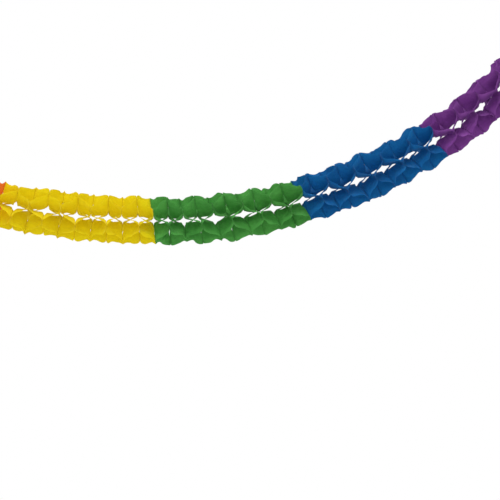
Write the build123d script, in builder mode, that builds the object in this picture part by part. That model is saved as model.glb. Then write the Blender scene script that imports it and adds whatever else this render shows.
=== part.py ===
from build123d import *

import os
from math import asin, cos, degrees, radians, sin

# A paper garland of die-cut tissue sheets in six colours, hung at both ends.
# Each sheet is glued to the one before it at four spots and to the one after
# it at the four spots between, so the pulled-out stack opens into a honeycomb
# tube. Millimetres, +Z up. The origin is the hanging hole of the left end
# card, the garland runs along +X, and its front looks along -Y.

# Colours from left to right, and how many sheets each has. The two end
# sections give one sheet to the card that closes them.
colours = ("red", "orange", "yellow", "green", "blue", "purple")
sheets_in_colour = (9, 10, 10, 10, 10, 9)

# How the garland hangs, at the left end, at each change of colour and at the
# right end: the slope of its middle line, how far its sheets lean back from
# standing square to that line, and its turn about that line.
slopes = (-48.0, -40.0, -11.4, -1.0, 16.8, 32.1, 50.7)
leans = (0.0, 0.0, -4.0, 7.0, 8.0, 2.0, 0.0)
turns = (4.0, 6.0, 8.0, 24.0, 30.0, 37.0, 52.0)

# One sheet, pulled open. Its hole swings to and fro less than its rim does, and
# between two columns of glue its rim is drawn in by a share of its radius.
sheet_depth = 35.4
tip_radius = 59.5
scallop_depth = 5.5
rim_draw_in = 0.06
hole_radius = 9.0
hole_swing = 0.7
paper_thickness = 0.2

# The columns of glue spots, and the corners of the scalloped rim, tips and
# valleys in turn, from one column to the next.
columns = 8
spot_start = 27.5
spot_half_width = 4.0
rim_corners = 3

# The end cards, cut with the same die as the sheets, with a punched hole to
# hang them by, set in from the rim.
card_thickness = 1.2
hang_hole_radius = 3.0
hang_hole_inset = 7.0

valley_radius = tip_radius - scallop_depth
hang_hole_offset = valley_radius - hang_hole_inset
front = Vector(0, -1, 0)
column_angle = 360 / columns
spot_angle = degrees(asin(spot_half_width / spot_start))


def mix(first, second, share):
    return first + (second - first) * share


def polar(radius, angle):
    return radius * cos(radians(angle)), radius * sin(radians(angle))


def rim_corner(number):
    """A corner of the scalloped outline: its radius and its angle."""
    return valley_radius if number % 2 else tip_radius, number * column_angle / rim_corners


def heading(slope):
    return Vector(cos(radians(slope)), 0, sin(radians(slope)))


def upward(slope):
    return Vector(-sin(radians(slope)), 0, cos(radians(slope)))


# The middle line: one arc for each colour, each running on from the last.
line_start = heading(slopes[0]) * card_thickness - upward(slopes[0]) * hang_hole_offset
with BuildLine(Plane.XZ) as middle_line:
    joint = (line_start.X, line_start.Z)
    for count, slope, next_slope in zip(sheets_in_colour, slopes, slopes[1:]):
        bend = next_slope - slope
        arc = JernArc(
            start=joint,
            tangent=(cos(radians(slope)), sin(radians(slope))),
            radius=count * sheet_depth / abs(radians(bend)),
            arc_size=bend,
        )
        joint = ((arc @ 1).X, (arc @ 1).Z)
arcs = middle_line.edges()


def section(colour, share):
    """The plane across the garland, turned with it, at a share of one colour's length."""
    arc = arcs[colour]
    lean = mix(leans[colour], leans[colour + 1], share)
    back = -(arc % share).rotate(Axis.Y, -lean)
    turn = mix(turns[colour], turns[colour + 1], share)
    return Plane(origin=arc @ share, x_dir=front.rotate(Axis((0, 0, 0), back), turn), z_dir=back)


class Sheet:
    """One tissue sheet between two glue planes. Its columns of glue spots lie
    in turn on the near plane (height 0) and on the far plane (height 1)."""

    def __init__(self, colour, place, number):
        self.colour = colour
        self.place = place
        self.number = number
        self.sections = {}
        along = self.section(1).origin - self.section(0).origin
        self.paper = along.normalized() * paper_thickness
        self.holes = [self.hole_point(column) for column in range(columns)]
        self.spots = [self.spot_points(column) for column in range(columns)]
        self.rims = [self.rim_points(column) for column in range(columns)]

    def section(self, height):
        if height not in self.sections:
            share = (self.place + height) / sheets_in_colour[self.colour]
            self.sections[height] = section(self.colour, share)
        return self.sections[height]

    def point(self, radius, angle, height):
        """A point of the near face, set so that both glued faces seat on their planes."""
        across = self.section(height)
        return across.from_local_coords(polar(radius, angle)) - self.paper * height

    def height_of(self, column):
        return (column + self.number) % 2

    def hole_point(self, column):
        height = mix(0.5, self.height_of(column), hole_swing)
        return self.point(hole_radius, column * column_angle, height)

    def spot_points(self, column):
        """The two corners at the inner end of a glue spot."""
        angle = column * column_angle
        height = self.height_of(column)
        return [self.point(spot_start, angle + side * spot_angle, height) for side in (-1, 1)]

    def rim_points(self, column):
        """The scalloped rim from one column to the next."""
        points = []
        for step in range(rim_corners + 1):
            radius, angle = rim_corner(column * rim_corners + step)
            if step % rim_corners:
                radius *= 1 - rim_draw_in
            height = mix(self.height_of(column), self.height_of(column + 1), step / rim_corners)
            points.append(self.point(radius, angle, height))
        return points

    def creases(self):
        """The flat facets between the creases of the near face."""
        facets = []
        for column, rim in enumerate(self.rims):
            following = (column + 1) % columns
            hole, next_hole = self.holes[column], self.holes[following]
            before, after = self.spots[column]
            next_before = self.spots[following][0]
            middle = rim_corners // 2
            facets.append((before, rim[0], after))
            facets.append((hole, before, after))
            facets.append((hole, after, next_before))
            facets.append((hole, next_before, next_hole))
            facets.append((after, rim[middle], next_before))
            for step in range(rim_corners):
                root = after if step < middle else next_before
                facets.append((root, rim[step], rim[step + 1]))
        return facets

    def edges(self):
        """The cut edges: the paper's thickness along the rim and round the hole."""
        cuts = [*zip(self.holes, self.holes[1:] + self.holes[:1])]
        for rim in self.rims:
            cuts += zip(rim, rim[1:])
        return [(start, end, end + self.paper, start + self.paper) for start, end in cuts]

    def solid(self):
        near_face = self.creases()
        far_face = [[corner + self.paper for corner in facet] for facet in near_face]
        outlines = [*near_face, *far_face, *self.edges()]
        return Solid(Shell([Face(Wire.make_polygon(outline)) for outline in outlines]))


def make_end_card(name, across, top):
    """A card glued behind an outermost sheet, with its hanging hole at the top."""
    with BuildPart() as card:
        with BuildSketch(across):
            with BuildLine():
                Polyline([polar(*rim_corner(number)) for number in range(columns * rim_corners)], close=True)
            make_face()
            with Locations(across.to_local_coords(across.origin + top * hang_hole_offset)):
                Circle(hang_hole_radius, mode=Mode.SUBTRACT)
        extrude(amount=card_thickness)
    card.part.label = name
    export_step(card.part, f"parts/{name}.step")


os.makedirs("parts", exist_ok=True)

# The first change of colour is a plane of front glue spots, so the count of
# sheets starts with the parity that puts them there.
number = sheets_in_colour[0] % 2
for colour, (colour_name, count) in enumerate(zip(colours, sheets_in_colour)):
    for place in range(count):
        name = f"{colour_name}_sheet_{place + 1}"
        with BuildPart() as sheet:
            add(Sheet(colour, place, number).solid())
        sheet.part.label = name
        export_step(sheet.part, f"parts/{name}.step")
        number += 1

left_end = section(0, 0)
right_end = section(len(colours) - 1, 1)
right_end = Plane(right_end.origin, right_end.x_dir, -right_end.z_dir)
make_end_card("left_end_card", left_end, upward(slopes[0]))
make_end_card("right_end_card", right_end, upward(slopes[-1]))
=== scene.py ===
import bmesh
import bpy
import numpy as np
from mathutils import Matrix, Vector


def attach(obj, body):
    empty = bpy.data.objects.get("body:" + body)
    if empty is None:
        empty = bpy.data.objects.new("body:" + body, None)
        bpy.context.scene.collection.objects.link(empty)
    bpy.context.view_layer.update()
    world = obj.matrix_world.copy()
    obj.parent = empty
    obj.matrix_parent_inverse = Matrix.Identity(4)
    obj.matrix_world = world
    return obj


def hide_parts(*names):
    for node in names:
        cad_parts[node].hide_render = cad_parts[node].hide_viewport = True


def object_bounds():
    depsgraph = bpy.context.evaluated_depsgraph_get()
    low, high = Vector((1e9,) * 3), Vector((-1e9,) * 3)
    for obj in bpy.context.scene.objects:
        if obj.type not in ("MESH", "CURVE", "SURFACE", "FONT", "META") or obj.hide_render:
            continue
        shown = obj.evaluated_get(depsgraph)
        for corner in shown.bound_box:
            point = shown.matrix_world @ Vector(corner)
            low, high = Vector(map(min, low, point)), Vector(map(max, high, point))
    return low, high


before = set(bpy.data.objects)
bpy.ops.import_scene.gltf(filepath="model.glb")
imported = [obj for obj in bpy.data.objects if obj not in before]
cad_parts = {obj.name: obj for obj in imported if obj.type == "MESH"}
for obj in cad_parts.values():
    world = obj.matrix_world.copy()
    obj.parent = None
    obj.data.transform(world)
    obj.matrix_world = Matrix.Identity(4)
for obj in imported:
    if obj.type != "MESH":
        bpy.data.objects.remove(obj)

cad_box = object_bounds()

# The line the garland hangs along. It is hung by the cards at its two ends, so
# it sags in a long swag: one arc for each colour of paper, each running on from
# the last. Towards its right end the garland has also turned about that line, and
# in the middle its sheets lean back from standing square to it.
colours = ("red", "orange", "yellow", "green", "blue", "purple")
sheets_in_colour = (9, 10, 10, 10, 10, 9)
sheet_depth = 0.0354
slopes = np.radians([-48.0, -40.0, -11.4, -1.0, 16.8, 32.1, 50.7])
leans = np.radians([0.0, 0.0, -4.0, 7.0, 8.0, 2.0, 0.0])
turns = np.radians([4.0, 6.0, 8.0, 24.0, 30.0, 37.0, 52.0])
card_thickness = 0.0012
hang_hole_offset = 0.047
colour_changes = np.cumsum([0, *sheets_in_colour])


def heading(slope):
    """The unit vector along the line: the slope's cosine forward and its sine up."""
    return np.stack([np.cos(slope), np.zeros_like(slope), np.sin(slope)], axis=-1)


def upward(slope):
    """The unit vector square to the line, in the upright plane that the line lies in."""
    return np.stack([-np.sin(slope), np.zeros_like(slope), np.cos(slope)], axis=-1)


def along_arc(start, slope, bend, distance):
    """A point of an arc. Its chord is the distance along it times the sine of half the
    bend over that half, and it points along the first slope plus half the bend."""
    chord = distance * np.sinc(bend / 2 / np.pi)
    return start + heading(slope + bend / 2) * chord[..., None]


arc_starts = [heading(slopes[0]) * card_thickness - upward(slopes[0]) * hang_hole_offset]
for slope, bend, length in zip(slopes, np.diff(slopes), sheet_depth * np.diff(colour_changes)):
    arc_starts.append(along_arc(arc_starts[-1], slope, bend, length))
arc_starts = np.array(arc_starts)


def hanging_line(place):
    """The line at a place counted in sheets from the left end: its point, the slope that
    a sheet faces along there, which is the line's own and its lean, and the garland's
    turn about it. Slope, lean and turn all change evenly over each colour."""
    colour = np.clip(np.searchsorted(colour_changes, place, side="right") - 1, 0, len(colours) - 1)
    slope = np.interp(place, colour_changes, slopes)
    distance = (place - colour_changes[colour]) * sheet_depth
    point = along_arc(arc_starts[colour], slopes[colour], slope - slopes[colour], distance)
    return point, slope + np.interp(place, colour_changes, leans), np.interp(place, colour_changes, turns)


# The tissue sheets: discs of thin dyed paper, die-cut with a scalloped rim and a
# round hole, each glued to the one before at four spots and to the one after at
# the four between. Pulled open, every sheet folds to and fro between its glue.
columns = 8
column_angle = 2 * np.pi / columns
scallops = 12
tip_radius = 0.0595
valley_radius = 0.054
notch_rounding = 0.3
draw_in = 0.065
glue_pull_in = 0.002
glue_pull_width = np.radians(5.0)
hole_radius = 0.009
paper_thickness = 0.00017
glue_thickness = 0.00003
spot_start = 0.0275
spot_half_width = 0.004
swing_radii = (0.009, 0.018, 0.0275, 0.036)
swings = (0.7, 0.83, 0.96, 1.0)
sheet_rows = 16
sheet_places = 192

# Opening and hanging it by hand has shifted and tilted each glue plane a little, and
# pulled each column of glue along, round and outwards, in its own way for each colour
# of paper. The planes at the two cards are held still.
shift_spread = 0.0007
tilt_spread = 0.022
pull_spreads = (0.0016, 0.0022, 0.0018)
pull_seeds = (29, 29, 1097, 2448, 430, 463)
handling = np.random.default_rng(29)
planes = colour_changes[-1] + 1
held = np.ones((planes, 1))
held[[0, -1]] = 0
plane_shift = handling.normal(0, shift_spread, (planes, 2)) * held
plane_tilt = handling.normal(0, tilt_spread, (planes, 2)) * held
column_pull = np.zeros((planes, columns, 3))
for seed, first, after in zip(pull_seeds, colour_changes, colour_changes[1:]):
    pulls = np.random.default_rng(seed).normal(0, pull_spreads, (after - first, columns, 3))
    column_pull[first:after] = pulls
column_pull[0] = 0

# Creases of handling are softest at the hole, and have rounded ridges.
hole_crease_share = 0.35
ridge_sharpness = 0.96


def die_radius(angle):
    """The outline of the die: rounded tongues that meet in notches, from the valley
    radius up by the scallop's depth times the size of a cosine. The root of its square
    and a small square rounds the notches."""
    tongue = np.hypot(np.cos(scallops / 2 * angle), notch_rounding) - notch_rounding
    tongue = tongue / (np.hypot(1, notch_rounding) - notch_rounding)
    return valley_radius + (tip_radius - valley_radius) * tongue


def rim_radius(angle):
    """The rim of an opened sheet: the die's outline, drawn in by a share of its radius in
    a cosine wave that is deepest half-way between two glue columns, and pulled in a
    little more by the glue, in a narrow bell at each column."""
    between = (1 - np.cos(columns * angle)) / 2
    from_glue = (angle + column_angle / 2) % column_angle - column_angle / 2
    glued = np.exp(-((from_glue / glue_pull_width) ** 2))
    return die_radius(angle) * (1 - draw_in * between) - glue_pull_in * glued


def swing_height(radius, angle, number):
    """How far a sheet has swung from its near glue plane (0) to its far one (1). It lies
    flat across each glue spot, and between two spots it eases over from one plane to
    the other. Towards the hole it swings less, about the half."""
    column = np.floor(angle / column_angle)
    share = angle / column_angle - column
    half_width = spot_half_width * np.clip((radius - hole_radius) / (spot_start - hole_radius), 0, 1)
    flat = np.arcsin(half_width / radius) / column_angle
    ramp = np.clip((share - flat) / (1 - 2 * flat), 0, 1)
    ramp = ramp * ramp * (3 - 2 * ramp)
    swung = np.abs((column + number) % 2 - ramp)
    return 0.5 + (swung - 0.5) * np.interp(radius, swing_radii, swings)


def between_columns(values, angle):
    """A value given at each glue column, carried round from one to the next by half a
    cosine wave."""
    share = angle / column_angle
    column = np.floor(share).astype(int)
    ease = (1 - np.cos(np.pi * (share - column))) / 2
    first, second = values[column % columns], values[(column + 1) % columns]
    return first + (second - first) * ease[..., None]


def crumple(across, up, height_mm, waves, shortest, longest):
    """Creases pressed in by handling: the sum of waves of random length and direction,
    each a sine turned into straight slopes with narrow rounded ridges by an arcsine,
    and as high as its length allows."""
    folds = np.zeros_like(across)
    for length, bearing, phase in zip(
        handling.uniform(shortest, longest, waves),
        handling.uniform(0, 2 * np.pi, waves),
        handling.uniform(0, 2 * np.pi, waves),
    ):
        run = (across * np.cos(bearing) + up * np.sin(bearing)) / length * 2 * np.pi + phase
        folds += np.arcsin(ridge_sharpness * np.sin(run)) * length / longest
    return folds * height_mm / 1000


def square_to_paper(middle):
    """The unit vectors square to a sheet's middle surface, from its near side to its far."""
    outward = np.gradient(middle, axis=0)
    around = (np.roll(middle, -1, axis=1) - np.roll(middle, 1, axis=1)) / 2
    square = np.cross(around, outward)
    return square / np.linalg.norm(square, axis=-1, keepdims=True)


def sheet_faces(sheet):
    """The near and far face of one sheet as grids of points, rows from hole to rim by
    places around. A grid point has a radius and an angle, and its height between the
    two glue planes sets where along the hanging line it lies; the planes' own shifts
    and tilts and the pull of the glue columns fade from one plane to the other, and the
    creases are nothing on either plane, so sheets that touch stay together."""
    angle, outward = np.meshgrid(
        np.linspace(0, 2 * np.pi, sheet_places, endpoint=False), np.linspace(0, 1, sheet_rows)
    )
    radius = hole_radius + (rim_radius(angle) - hole_radius) * outward
    height = swing_height(radius, angle, sheet + 1)
    near_to_far = height[..., None]
    loose = 4 * height * (1 - height) * (hole_crease_share + (1 - hole_crease_share) * outward)
    across, up = radius * np.cos(angle), radius * np.sin(angle)
    pull = (1 - near_to_far) * between_columns(column_pull[sheet], angle)
    pull += near_to_far * between_columns(column_pull[sheet + 1], angle)
    shift = (1 - near_to_far) * plane_shift[sheet] + near_to_far * plane_shift[sheet + 1]
    tilt = (1 - near_to_far) * plane_tilt[sheet] + near_to_far * plane_tilt[sheet + 1]
    along = pull[..., 0] + tilt[..., 0] * across + tilt[..., 1] * up
    along += loose * crumple(across, up, height_mm=2.0, waves=5, shortest=0.014, longest=0.036)
    radius = radius + pull[..., 2]
    radius += loose * crumple(across, up, height_mm=1.2, waves=4, shortest=0.014, longest=0.030)
    angle = angle + pull[..., 1] / radius
    point, facing, turn = hanging_line(sheet + height)
    forward = heading(facing)
    point = point + forward * along[..., None]
    point = point + (radius * np.sin(angle + turn) + shift[..., 0])[..., None] * upward(facing)
    point[..., 1] -= radius * np.cos(angle + turn) + shift[..., 1]
    middle = point + forward * ((paper_thickness + glue_thickness) * (0.5 - height))[..., None]
    half = square_to_paper(middle) * paper_thickness / 2
    return middle - half, middle + half


def closed_sheet(name, near, far):
    """A mesh of a sheet's two faces, joined by a strip round the hole and one round the
    rim. Each face is smooth, and the cut edges are sharp."""
    rows, places = near.shape[:2]
    here = np.arange(rows * places).reshape(rows, places)
    beside = np.roll(here, -1, axis=1)
    behind = rows * places
    front_quads = np.stack([here[:-1], here[1:], beside[1:], beside[:-1]], axis=-1).reshape(-1, 4)
    rim, beside_rim = here[-1], beside[-1]
    hole, beside_hole = here[0], beside[0]
    rim_quads = np.stack([rim, rim + behind, beside_rim + behind, beside_rim], axis=-1)
    hole_quads = np.stack([hole, beside_hole, beside_hole + behind, hole + behind], axis=-1)
    quads = np.concatenate([front_quads, front_quads[:, ::-1] + behind, rim_quads, hole_quads])
    mesh = bpy.data.meshes.new(name)
    mesh.from_pydata(np.concatenate([near.reshape(-1, 3), far.reshape(-1, 3)]), [], quads.tolist())
    mesh.shade_smooth()
    mesh.set_sharp_from_angle(angle=np.radians(60))
    sheet = bpy.data.objects.new(name, mesh)
    bpy.context.scene.collection.objects.link(sheet)
    return sheet


def linear(colour):
    """A colour as seen on a screen, 0 to 255, as the linear values that a shader takes."""
    part = np.array(colour) / 255
    return (*np.where(part > 0.04045, ((part + 0.055) / 1.055) ** 2.4, part / 12.92), 1.0)


def add_noise(tree, place, scale, detail, roughness):
    """Soft noise on the garland's own coordinates, in waves a metre."""
    noise = tree.nodes.new("ShaderNodeTexNoise")
    noise.inputs["Scale"].default_value = scale
    noise.inputs["Detail"].default_value = detail
    noise.inputs["Roughness"].default_value = roughness
    tree.links.new(place, noise.inputs["Vector"])
    return noise.outputs["Fac"]


def add_range(tree, value, low, high, new_low, new_high):
    """A value brought from one range to another."""
    node = tree.nodes.new("ShaderNodeMapRange")
    for name, number in (("From Min", low), ("From Max", high), ("To Min", new_low), ("To Max", new_high)):
        node.inputs[name].default_value = number
    tree.links.new(value, node.inputs["Value"])
    return node.outputs["Result"]


def add_blend(tree, share, first, second):
    """Two colours mixed by a share. Each is a colour or another node's output. The mix
    node keeps its colours in its seventh and eighth inputs and its third output."""
    node = tree.nodes.new("ShaderNodeMix")
    node.data_type = "RGBA"
    tree.links.new(share, node.inputs["Factor"])
    for socket, colour in ((node.inputs[6], first), (node.inputs[7], second)):
        if isinstance(colour, tuple):
            socket.default_value = colour
        else:
            tree.links.new(colour, socket)
    return node.outputs[2]


def add_bump(tree, height, strength, distance, under=None):
    """Relief from a height, over another relief where one is given."""
    bump = tree.nodes.new("ShaderNodeBump")
    bump.inputs["Strength"].default_value = strength
    bump.inputs["Distance"].default_value = distance
    tree.links.new(height, bump.inputs["Height"])
    if under:
        tree.links.new(under, bump.inputs["Normal"])
    return bump.outputs["Normal"]


def tissue_material(name, dye, deep_dye):
    """Dyed tissue: thin matt paper that lets part of the light through, which takes the
    dye's colour in two steps, one at each face. The dye has taken unevenly, in broad
    clouds and in the fine fibres, and the paper is crinkled."""
    light_through = 0.45
    one_face_share = 0.45
    material = bpy.data.materials.new(name)
    material.use_nodes = True
    tree = material.node_tree
    tree.nodes.clear()
    place = tree.nodes.new("ShaderNodeTexCoord").outputs["Object"]
    clouds = add_noise(tree, place, scale=26.0, detail=3.0, roughness=0.55)
    fibres = add_noise(tree, place, scale=420.0, detail=4.0, roughness=0.7)
    crinkles = add_noise(tree, place, scale=110.0, detail=2.0, roughness=0.5)
    stained = add_blend(tree, add_range(tree, clouds, 0.35, 0.65, 0.0, 0.7), linear(dye), linear(deep_dye))
    pale = tuple(min(1.0, part * 1.25 + 0.02) for part in linear(dye))
    shown = add_blend(tree, add_range(tree, fibres, 0.45, 0.8, 0.0, 0.35), stained, pale)
    crinkled = add_bump(tree, crinkles, strength=0.9, distance=0.0020)
    grain = add_bump(tree, fibres, strength=0.35, distance=0.0003, under=crinkled)

    paper = tree.nodes.new("ShaderNodeBsdfPrincipled")
    paper.inputs["Roughness"].default_value = 0.82
    paper.inputs["Specular IOR Level"].default_value = 0.25
    paper.inputs["Sheen Weight"].default_value = 0.08
    tree.links.new(shown, paper.inputs["Base Color"])
    tree.links.new(grain, paper.inputs["Normal"])
    through = tree.nodes.new("ShaderNodeBsdfTranslucent")
    one_face = tree.nodes.new("ShaderNodeGamma")
    one_face.inputs["Gamma"].default_value = one_face_share
    tree.links.new(shown, one_face.inputs["Color"])
    tree.links.new(one_face.outputs["Color"], through.inputs["Color"])
    tree.links.new(grain, through.inputs["Normal"])
    tissue = tree.nodes.new("ShaderNodeMixShader")
    tissue.inputs["Fac"].default_value = light_through
    tree.links.new(paper.outputs["BSDF"], tissue.inputs[1])
    tree.links.new(through.outputs["BSDF"], tissue.inputs[2])
    surface = tree.nodes.new("ShaderNodeOutputMaterial")
    tree.links.new(tissue.outputs["Shader"], surface.inputs["Surface"])
    return material


dyes = {
    "red": ((236, 112, 64), (218, 90, 46)),
    "orange": ((252, 153, 62), (244, 134, 50)),
    "yellow": ((247, 231, 10), (241, 219, 6)),
    "green": ((99, 185, 88), (59, 145, 56)),
    "blue": ((14, 118, 184), (10, 100, 166)),
    "purple": ((154, 84, 174), (116, 48, 138)),
}
sheet = 0
for colour, count in zip(colours, sheets_in_colour):
    tissue = tissue_material(f"{colour}_tissue_paper", *dyes[colour])
    for number in range(1, count + 1):
        node = f"{colour}_sheet_{number}"
        piece = closed_sheet(f"{node}_tissue", *sheet_faces(sheet))
        piece.data.materials.append(tissue)
        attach(piece, "root")
        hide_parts(node)
        sheet += 1

# The two end cards: stiff card cut with the same die, glued behind the first and
# the last sheet, each with a punched hole for a nail or a string. The cutting has
# rounded over the edges of each card a little.
hang_hole_radius = 0.003
rounding = 0.00015
card_rim_points = 240
card_hole_points = 48


def cut_card(name, place, side):
    """A card's closed outline and its hole, drawn flat, thickened and rounded by the
    curve's own bevel, made a mesh, and then set against the sheet it is glued to."""
    point, facing, turn = hanging_line(np.array(float(place)))
    around = np.linspace(0, 2 * np.pi, card_rim_points, endpoint=False)
    round_hole = np.linspace(0, 2 * np.pi, card_hole_points, endpoint=False)
    rim = (die_radius(around) - rounding) * np.exp(1j * (around + turn))
    hole = 1j * hang_hole_offset + (hang_hole_radius + rounding) * np.exp(1j * round_hole)
    outline = bpy.data.curves.new(name, "CURVE")
    outline.dimensions = "2D"
    outline.fill_mode = "BOTH"
    outline.extrude = card_thickness / 2 - rounding
    outline.bevel_depth = rounding
    outline.bevel_resolution = 2
    for cut in (rim, hole):
        spline = outline.splines.new("POLY")
        spline.points.add(len(cut) - 1)
        points = np.stack([cut.real, cut.imag, np.zeros(len(cut)), np.ones(len(cut))], axis=1)
        spline.points.foreach_set("co", points.ravel())
        spline.use_cyclic_u = True
    drawn = bpy.data.objects.new("drawn_card", outline)
    mesh = bpy.data.meshes.new_from_object(drawn)
    bpy.data.objects.remove(drawn)
    bpy.data.curves.remove(outline)
    flat = np.empty(len(mesh.vertices) * 3)
    mesh.vertices.foreach_get("co", flat)
    across, up, thick = flat.reshape(-1, 3).T[..., None]
    placed = point - across * np.array([0.0, 1.0, 0.0]) + up * upward(facing)
    placed = placed + (side * card_thickness / 2 - thick) * heading(facing)
    mesh.vertices.foreach_set("co", placed.ravel())
    closed = bmesh.new()
    closed.from_mesh(mesh)
    bmesh.ops.remove_doubles(closed, verts=closed.verts, dist=rounding / 20)
    closed.to_mesh(mesh)
    closed.free()
    mesh.name = name
    card_piece = bpy.data.objects.new(name, mesh)
    bpy.context.scene.collection.objects.link(card_piece)
    return card_piece


card = bpy.data.materials.new("grey_end_card")
card.use_nodes = True
tree = card.node_tree
place = tree.nodes.new("ShaderNodeTexCoord").outputs["Object"]
pulp = add_noise(tree, place, scale=60.0, detail=4.0, roughness=0.6)
flecks = add_noise(tree, place, scale=900.0, detail=3.0, roughness=0.7)
pale_grey, dark_grey, fleck_grey = linear((206, 198, 184)), linear((188, 178, 162)), linear((140, 128, 112))
board = add_blend(tree, add_range(tree, pulp, 0.35, 0.65, 0.0, 1.0), pale_grey, dark_grey)
flecked = add_blend(tree, add_range(tree, flecks, 0.62, 0.74, 0.0, 0.6), board, fleck_grey)
uneven = add_bump(tree, pulp, strength=0.3, distance=0.0006)
pressed = add_bump(tree, flecks, strength=0.3, distance=0.0002, under=uneven)
face = tree.nodes["Principled BSDF"]
face.inputs["Roughness"].default_value = 0.78
face.inputs["Specular IOR Level"].default_value = 0.3
tree.links.new(flecked, face.inputs["Base Color"])
tree.links.new(pressed, face.inputs["Normal"])
for node, end, side in (("left_end_card", 0, -1), ("right_end_card", colour_changes[-1], 1)):
    piece = cut_card(f"cut_{node}", end, side)
    piece.data.materials.append(card)
    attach(piece, "root")
    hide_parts(node)

# The camera stands level with the middle of the picture and looks a little to the
# right of straight back, so that the garland draws away towards its right end. The
# change from yellow to green fixes the picture's place along the garland.
photo_scale = 0.002355
picture_pixels = 500
colour_change_pixel = (153.3, 221.2)
camera_distance = 2.6
camera_yaw = np.radians(6.0)
first_green_plane = colour_changes[colours.index("green")]
change, _, _ = hanging_line(np.array(float(first_green_plane)))
camera = bpy.data.objects.new("camera", bpy.data.cameras.new("camera"))
bpy.context.scene.collection.objects.link(camera)
bpy.context.scene.camera = camera
camera.data.sensor_width = 36.0
camera.data.lens = camera.data.sensor_width * camera_distance / (picture_pixels * photo_scale)
straight_on = np.array([np.sin(camera_yaw), np.cos(camera_yaw), 0.0])
to_the_right = np.array([np.cos(camera_yaw), -np.sin(camera_yaw), 0.0])
across, down = (np.array(colour_change_pixel) - picture_pixels / 2) * photo_scale
sight = straight_on * camera_distance + to_the_right * across - np.array([0.0, 0.0, down])
camera.location = change - sight * camera_distance * straight_on[1] / sight[1]
camera.rotation_euler = (np.pi / 2, 0, -camera_yaw)

# The studio: a pale floor well below the garland, one large soft lamp above and
# in front on the left, and an even pale surround that shows as white.
middle = (Vector(cad_box[0]) + Vector(cad_box[1])) / 2
floor_drop = 1.6
floor_reach = 2.8
floor_mesh = bpy.data.meshes.new("floor")
corners = [(middle.x + x * floor_reach, y * floor_reach, cad_box[0][2] - floor_drop)
           for x, y in ((-1, -1), (1, -1), (1, 1), (-1, 1))]
floor_mesh.from_pydata(corners, [], [(0, 1, 2, 3)])
floor = bpy.data.objects.new("floor", floor_mesh)
bpy.context.scene.collection.objects.link(floor)
plaster = bpy.data.materials.new("pale_floor")
plaster.use_nodes = True
tree = plaster.node_tree
place = tree.nodes.new("ShaderNodeTexCoord").outputs["Object"]
unevenness = add_noise(tree, place, scale=3.0, detail=4.0, roughness=0.6)
patches = add_range(tree, unevenness, 0.3, 0.7, 0.0, 1.0)
tint = add_blend(tree, patches, linear((236, 235, 233)), linear((230, 229, 227)))
tree.links.new(tint, tree.nodes["Principled BSDF"].inputs["Base Color"])
tree.nodes["Principled BSDF"].inputs["Roughness"].default_value = 0.9
floor_mesh.materials.append(plaster)

lamp_data = bpy.data.lights.new("soft_lamp", "AREA")
lamp_data.shape = "SQUARE"
lamp_data.size = 1.8
lamp_data.energy = 35.0
lamp = bpy.data.objects.new("soft_lamp", lamp_data)
bpy.context.scene.collection.objects.link(lamp)
lamp.location = middle + Vector((-0.3, -1.2, 2.8))
lamp.rotation_euler = (middle - lamp.location).to_track_quat("-Z", "Y").to_euler()

surround = bpy.data.worlds.new("surround")
surround.use_nodes = True
tree = surround.node_tree
tree.nodes.clear()
ray = tree.nodes.new("ShaderNodeLightPath")
seen = ray.outputs["Is Camera Ray"]
for kind in ("Is Glossy Ray", "Is Transmission Ray"):
    either = tree.nodes.new("ShaderNodeMath")
    either.operation = "MAXIMUM"
    tree.links.new(seen, either.inputs[0])
    tree.links.new(ray.outputs[kind], either.inputs[1])
    seen = either.outputs[0]
lit, shown = tree.nodes.new("ShaderNodeBackground"), tree.nodes.new("ShaderNodeBackground")
lit.inputs["Strength"].default_value = 0.94
shown.inputs["Strength"].default_value = 1.0
for background in (lit, shown):
    background.inputs["Color"].default_value = (1.0, 1.0, 1.0, 1.0)
mix = tree.nodes.new("ShaderNodeMixShader")
tree.links.new(seen, mix.inputs["Fac"])
tree.links.new(lit.outputs[0], mix.inputs[1])
tree.links.new(shown.outputs[0], mix.inputs[2])
tree.links.new(mix.outputs[0], tree.nodes.new("ShaderNodeOutputWorld").inputs["Surface"])
bpy.context.scene.world = surround
bpy.context.scene.view_settings.view_transform = "Standard"
